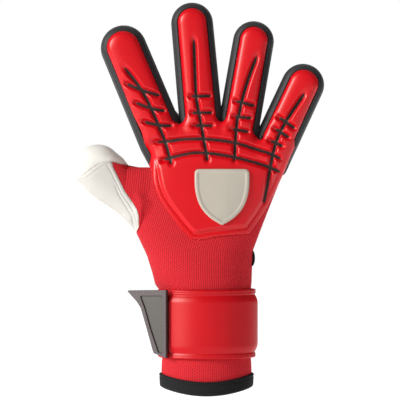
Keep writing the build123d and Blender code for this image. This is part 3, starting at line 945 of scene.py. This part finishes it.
def fold_place(across, along):
    """A smooth red strip folded over the web's top edge, from its back face to its palm face."""
    below = 13.2 + 13.2 * along
    edge = np.interp(below, WEB_EDGE[:, 1], WEB_EDGE[:, 0]) + 0.5
    side, reach = np.sign(across - 0.5), 1 - np.abs(2 * across - 1)
    x, z = from_digit(THUMB, edge - 4.2 * (1 - np.clip(reach / 0.7, 0, 1)) * (0.55 + 0.45 * along), below)
    over = 1 - np.clip((reach - 0.7) / 0.3, 0, 1) ** 1.5
    return x, side * (thickness(x, z) + 1.25) * over, z


fold = sheet("thumb_web_fold", 48, 40, fold_place, on_plane, 0.8, edge_red, None)
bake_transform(fold)

# ---------------------------------------------------------------- badge
# A plain raised shield, off-white and rubbery, is moulded on to the middle of the back.
# Its rim stands a little above its face.
rubber = grained("off-white rubber", (0.45, 0.405, 0.335), (0.53, 0.48, 0.40), 0.42, 1400, 0.08)
SHIELD = smooth_path([(11.2, 159.8), (25, 159.8), (31, 159.4), (31.2, 152), (30.8, 143), (27.5, 132),
                      (20, 123.5), (11.2, 118.6)], 3)
SHIELD_LOOP = np.vstack([SHIELD, np.column_stack([22.4 - SHIELD[::-1, 0], SHIELD[::-1, 1]])])


def shield_place(across, along):
    z = 118.9 + 40.6 * (0.5 - 0.5 * np.cos(np.pi * along))
    order = np.argsort(SHIELD[:, 1])
    half = np.interp(z, SHIELD[order, 1], SHIELD[order, 0]) - 11.2
    half = np.where(z > 159.2, half * np.sqrt(np.maximum(1 - ((z - 159.2) / 0.9) ** 2, 0.2)), half)
    x = 11.2 + half * np.sin(np.pi * (across - 0.5))
    edge = distance_to(SHIELD_LOOP, x, z)
    height = 0.3 + 1.7 * np.sqrt(1 - (1 - np.clip(edge / 1.0, 0, 1)) ** 2) - 0.5 * smoothstep(2.2, 3.0, edge)
    return x, -(thickness(x, z) + PANEL_PAD + height), z


shield = sheet("back_shield", 60, 60, shield_place, on_plane, 1.6, rubber, "hand")
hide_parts("raised_badge")

# ---------------------------------------------------------------- cuff
# Below the hand the same knit goes on as a sleeve round the wrist, with a soft lining. A
# black woven tape is folded over its rim, which dips in the middle.
HALF_WIDTH, HALF_DEPTH = 32.6, 24.5


def cuff_ring(turn, proud, z):
    """A place round the cuff: turn starts at the little-finger side and goes over the back."""
    return (HALF_WIDTH + proud) * np.cos(turn), -(HALF_DEPTH + proud) * np.sin(turn), z


def rim_dip(turn):
    return -5.0 * np.sin(turn) ** 2


def sleeve_place(across, along):
    turn = 2 * np.pi * across
    z = rim_dip(turn) * (1 - along) + 1 + 73 * along
    puff = 0.5 * np.sin(np.pi * np.clip((z - 2) / 20, 0, 1)) - 0.5 * smoothstep(60, 74, z)
    return cuff_ring(turn, puff, z)


sleeve = sheet("cuff_sleeve_knit", 128, 60, sleeve_place, round_axis(), 1.5, knit_red, "cuff",
               join_sides=True)
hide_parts("cuff_sleeve")

lining = knitted("grey lining", (0.10, 0.10, 0.11), (0.24, 0.24, 0.25), 0.0014, 0.0016, 0.4)


def lining_place(across, along):
    turn = 2 * np.pi * across
    z = rim_dip(turn) * (1 - np.clip(along * 3, 0, 1)) + 1.5 + 160 * along
    x, y, _ = ring_at(0.5 - across, np.maximum(z, 0), 3.2)
    low = smoothstep(80, 60, z)
    rx, ry, _ = cuff_ring(turn, -2.2, z)
    close = 1 - 0.93 * smoothstep(128, 160, z)
    return rx * low + x * (1 - low), (ry * low + y * (1 - low)) * close, z


inner = sheet("inner_lining", 96, 80, lining_place, round_axis(), 0.8, lining, None,
              join_sides=True)
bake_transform(inner)
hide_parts("cuff_lining")

tape, tape_tree, tape_shader = finish("black woven tape", 0.7, sheen=0.03, specular=0.18)
weave = use_group(tape_tree, knit, Rib=0.0011, Course=0.0009, Depth=0.5)
tape_tree.links.new(two_tone(tape_tree, weave.outputs["Holes"], (0.007, 0.0075, 0.009),
                             (0.003, 0.0035, 0.004)), tape_shader.inputs["Base Color"])
tape_tree.links.new(weave.outputs["Normal"], tape_shader.inputs["Normal"])


def binding_place(across, along):
    turn = 2 * np.pi * across
    fold = np.interp(along, (0, 0.38, 0.42, 0.46, 0.5, 0.54, 0.58, 0.95, 1),
                     (-3.3, -3.4, -3.2, -2.3, -0.9, 0.5, 1.4, 1.9, 1.0))
    rise = np.interp(along, (0, 0.38, 0.42, 0.46, 0.5, 0.54, 0.58, 0.95, 1),
                     (8.5, 1.2, 0.3, -0.5, -0.8, -0.5, 0.3, 8.7, 9.2))
    stitch = 0.35 * np.exp(-((rise - 7.0) / 0.5) ** 2) * (along > 0.5)
    return cuff_ring(turn, fold - stitch, rim_dip(turn) + rise + 0.8)


binding = sheet("rim_binding", 128, 60, binding_place, round_axis(), 0, tape, "cuff",
                join_sides=True)
binding_wall = binding.modifiers.new("wall", "SOLIDIFY")
binding_wall.thickness, binding_wall.offset = 0.7 * MM, 0
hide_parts("cuff_binding")

# ---------------------------------------------------------------- wrist strap
# A wide padded band in smooth red coated cloth goes round the wrist over the sleeve. Its
# front half is a flap hinged at the little-finger side and closed with hook and loop. Its
# edges are pressed flat and stitched.

def stitches(name, place, length, pitch, thick, material, slot):
    """A row of stitches: place turns a share of the row's length into a place in millimetres."""
    count = int(length / pitch)
    share = (np.arange(count) + 0.5) / count
    middles, ahead = (np.column_stack(place(share + step)) for step in (0, 0.2 / count))
    bm = bmesh.new()
    for middle, next_one in zip(middles, ahead):
        verts = bmesh.ops.create_icosphere(bm, subdivisions=1, radius=thick / 2 * MM)["verts"]
        bmesh.ops.scale(bm, verts=verts, vec=(0.62 * pitch / thick, 1, 1))
        turned = Vector(next_one - middle).to_track_quat("X", "Z").to_matrix()
        for v in verts:
            v.co = turned @ v.co + Vector(middle) * MM
    return new_piece(name, bm, material)


STRAP_LOW, STRAP_HIGH = 21.5, 72.0
STRAP_FREE = math.acos(-27.7 / 36.4)      # the turn at the flap's free end
strap_red = grained("smooth strap red", (0.50, 0.0004, 0.005), (0.59, 0.0007, 0.007), 0.36, 1300, 0.10,
                    specular=0.25)


def strap_profile(low):
    """The band's height over the sleeve, by the distance above its lower edge."""
    edge = np.minimum(low, STRAP_HIGH - STRAP_LOW - low)
    rim = 3.1 * np.sqrt(1 - (1 - np.clip(edge / 0.9, 0, 1)) ** 2)
    groove = 0.8 * np.exp(-((edge - 4.3) / 0.55) ** 2)
    stitches = 0.25 * np.exp(-((edge - 2.3) / 0.4) ** 2)
    return rim + 1.1 * smoothstep(4.4, 9, edge) - groove - stitches


def strap_rows(along):
    """Heights up the band, closer together at its edges."""
    return STRAP_LOW + (STRAP_HIGH - STRAP_LOW) * (0.5 - 0.5 * np.cos(np.pi * along)) ** 0.9


def flap_place(across, along):
    turn = -0.10 + (STRAP_FREE + 0.10) * across
    z = strap_rows(along)
    proud = strap_profile(z - STRAP_LOW)
    proud = proud * np.clip(0.25 + (1 - across) * STRAP_FREE * 33 / 1.2, 0, 1) ** 0.5
    fold = smoothstep(0.5, 0, np.abs(turn)) * smoothstep(4, 12, np.minimum(z - STRAP_LOW, STRAP_HIGH - z))
    return cuff_ring(turn, 0.4 + proud + 0.5 * fold, z)


def band_place(across, along):
    turn = -0.06 - (2 * np.pi - 0.06 - STRAP_FREE - 0.12) * across
    z = strap_rows(along)
    return cuff_ring(turn, 0.2 + strap_profile(z - STRAP_LOW) * 0.92, z)


flap = sheet("strap_flap", 90, 60, flap_place, round_axis(), 2.0, strap_red, None)
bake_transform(flap)
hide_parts("strap_panel", "strap_rims")
band = sheet("strap_back_band", 90, 60, band_place, round_axis(), 2.4, strap_red, "cuff")
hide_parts("strap_band")

red_thread = grained("red thread", (0.40, 0.004, 0.012), (0.52, 0.008, 0.020), 0.55, 2500, 0.3)
for name, first, last in (("flap", 0.03, STRAP_FREE - 0.05), ("band", -0.10, STRAP_FREE + 0.2 - 2 * np.pi)):
    for edge, z in (("low", STRAP_LOW + 2.3), ("high", STRAP_HIGH - 2.3)):
        def stitch_place(share, first=first, last=last, z=z):
            return cuff_ring(first + (last - first) * share, 3.22, z + 0 * share)
        row = stitches(f"strap_{name}_{edge}_stitches", stitch_place, abs(last - first) * 32, 2.5, 0.75,
                       red_thread, "strap_red")
        if name == "flap":
            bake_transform(row)
        else:
            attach(row, "cuff")

nap = grained("napped hook and loop", (0.05, 0.004, 0.006), (0.10, 0.008, 0.012), 0.9, 3200, 1.0, sheen=0.2,
              specular=0.1)


def pad_place(across, along, first, last, proud):
    return cuff_ring(first + (last - first) * across, proud, 29 + 36 * along)


for name, node, body, first, last, proud, side, wide in (("loop_pad", "loop_patch", "cuff", 1.25, 2.3, 1.0,
                                                          0.6, 0.034),
                                                   ("hook_pad", "hook_patch", "strap", 1.35, 2.2, 1.75, 0.5,
                                                    0.028)):
    pad = sheet(name, 60, 30, lambda across, along, first=first, last=last,
                proud=proud: pad_place(across, along, first, last, proud),
                round_axis(), side, nap, body)
    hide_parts(node)

# ---------------------------------------------------------------- pull tab
# A stiff dark rubber tab ends the flap and stands off the wrist, so that a thumb can lift
# it. It has a raised stitched rim and a recessed plain face.
TAB_FOOT, TAB_LEAN = (-29.4, -19.8), math.radians(27)
tab_face = grained("dark tab rubber", (0.030, 0.027, 0.024), (0.048, 0.044, 0.040), 0.38, 1200, 0.1)
tab_rim = grained("grey tab rim", (0.050, 0.036, 0.040), (0.075, 0.056, 0.061), 0.5, 1800, 0.2)
TAB_OUTLINE = [(-1.5, 22.3), (8.6, 25.6), (9.6, 27.5), (14.5, 43), (19.5, 58.2), (22.6, 62.6), (30.2, 70.0),
               (30.0, 70.9), (-1.5, 71.8)]
TAB_WINDOW = [(1.8, 25.4), (5.0, 26.4), (11.4, 43), (16.4, 58.8), (19.6, 66.2), (19.2, 67.0), (1.8, 67.4)]
TAB_STITCHES = [(0.6, 23.9), (7.4, 25.6), (13.1, 43), (18.1, 58.8), (24.8, 68.9), (0.6, 69.6)]


def tab_loop(bm, outline, out):
    """A closed loop of edges in the tab's own plane, a distance out from its back."""
    corners = [bm.verts.new((-across * MM, -out * MM, z * MM)) for across, z in outline]
    return [bm.edges.new((first, second)) for first, second in zip(corners, corners[1:] + corners[:1])]


def tab_plate(bm, outlines, near, far):
    """A plate with an outline, and a window if there is a second one, between two distances."""
    edges = [edge for outline in outlines for edge in tab_loop(bm, outline, near)]
    made = bmesh.ops.triangle_fill(bm, edges=edges, use_beauty=True, use_dissolve=False)
    faces = [item for item in made["geom"] if isinstance(item, bmesh.types.BMFace)]
    grown = bmesh.ops.extrude_face_region(bm, geom=faces)
    bmesh.ops.translate(bm, verts=[item for item in grown["geom"] if isinstance(item, bmesh.types.BMVert)],
                        vec=(0, (near - far) * MM, 0))


turn = (math.cos(TAB_LEAN), math.sin(TAB_LEAN))
for name, outlines, near, far, material, slot, node in (
        ("pull_tab_plate", [TAB_OUTLINE], 0, 1.9, tab_face, "tab_face", "pull_tab"),
        ("pull_tab_rim_frame", [TAB_OUTLINE, TAB_WINDOW], 1.9, 3.1, tab_rim, "tab_rim", "pull_tab_rim")):
    bm = bmesh.new()
    tab_plate(bm, outlines, near, far)
    bmesh.ops.recalc_face_normals(bm, faces=bm.faces)
    for v in bm.verts:
        x, y = v.co.x, v.co.y
        v.co.x = TAB_FOOT[0] * MM + x * turn[0] + y * turn[1]
        v.co.y = TAB_FOOT[1] * MM - x * turn[1] + y * turn[0]
    piece = new_piece(name, bm, material, smooth=False)
    soft = piece.modifiers.new("rounded edges", "BEVEL")
    soft.width, soft.segments, soft.limit_method, soft.angle_limit = 0.35 * MM, 2, "ANGLE", math.radians(50)
    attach(piece, "tab")
    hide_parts(node)
rim_path = np.array(TAB_STITCHES + TAB_STITCHES[:1], float)


def tab_stitch(share):
    out, z = walk(rim_path, share)
    return TAB_FOOT[0] - out * turn[0] - 3.1 * turn[1], TAB_FOOT[1] + out * turn[1] - 3.1 * turn[0], z


tab_thread = grained("grey thread", (0.16, 0.14, 0.145), (0.22, 0.20, 0.205), 0.6, 2500, 0.3)
sewn = stitches("pull_tab_stitches", tab_stitch, np.hypot(*np.diff(rim_path, axis=0).T).sum(), 2.4, 0.7,
                tab_thread, "tab_rim")
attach(sewn, "tab")

# ---------------------------------------------------------------- side loop
# A small folded loop of black tape is sewn into the seam on the little-finger side, to
# hang the glove by.


def loop_tape(across, along):
    turn = np.pi * (along - 0.5)
    return 32.6 + 2.9 * np.cos(turn) ** 0.7, 10 * (across - 0.5), 94.5 + 6 * np.sin(turn)


hang = sheet("hanging_loop", 12, 30, loop_tape, lambda p: np.array([31, 0, 94.5]) + 0 * p, 1.6, tape,
             "hand")
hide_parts("side_loop")
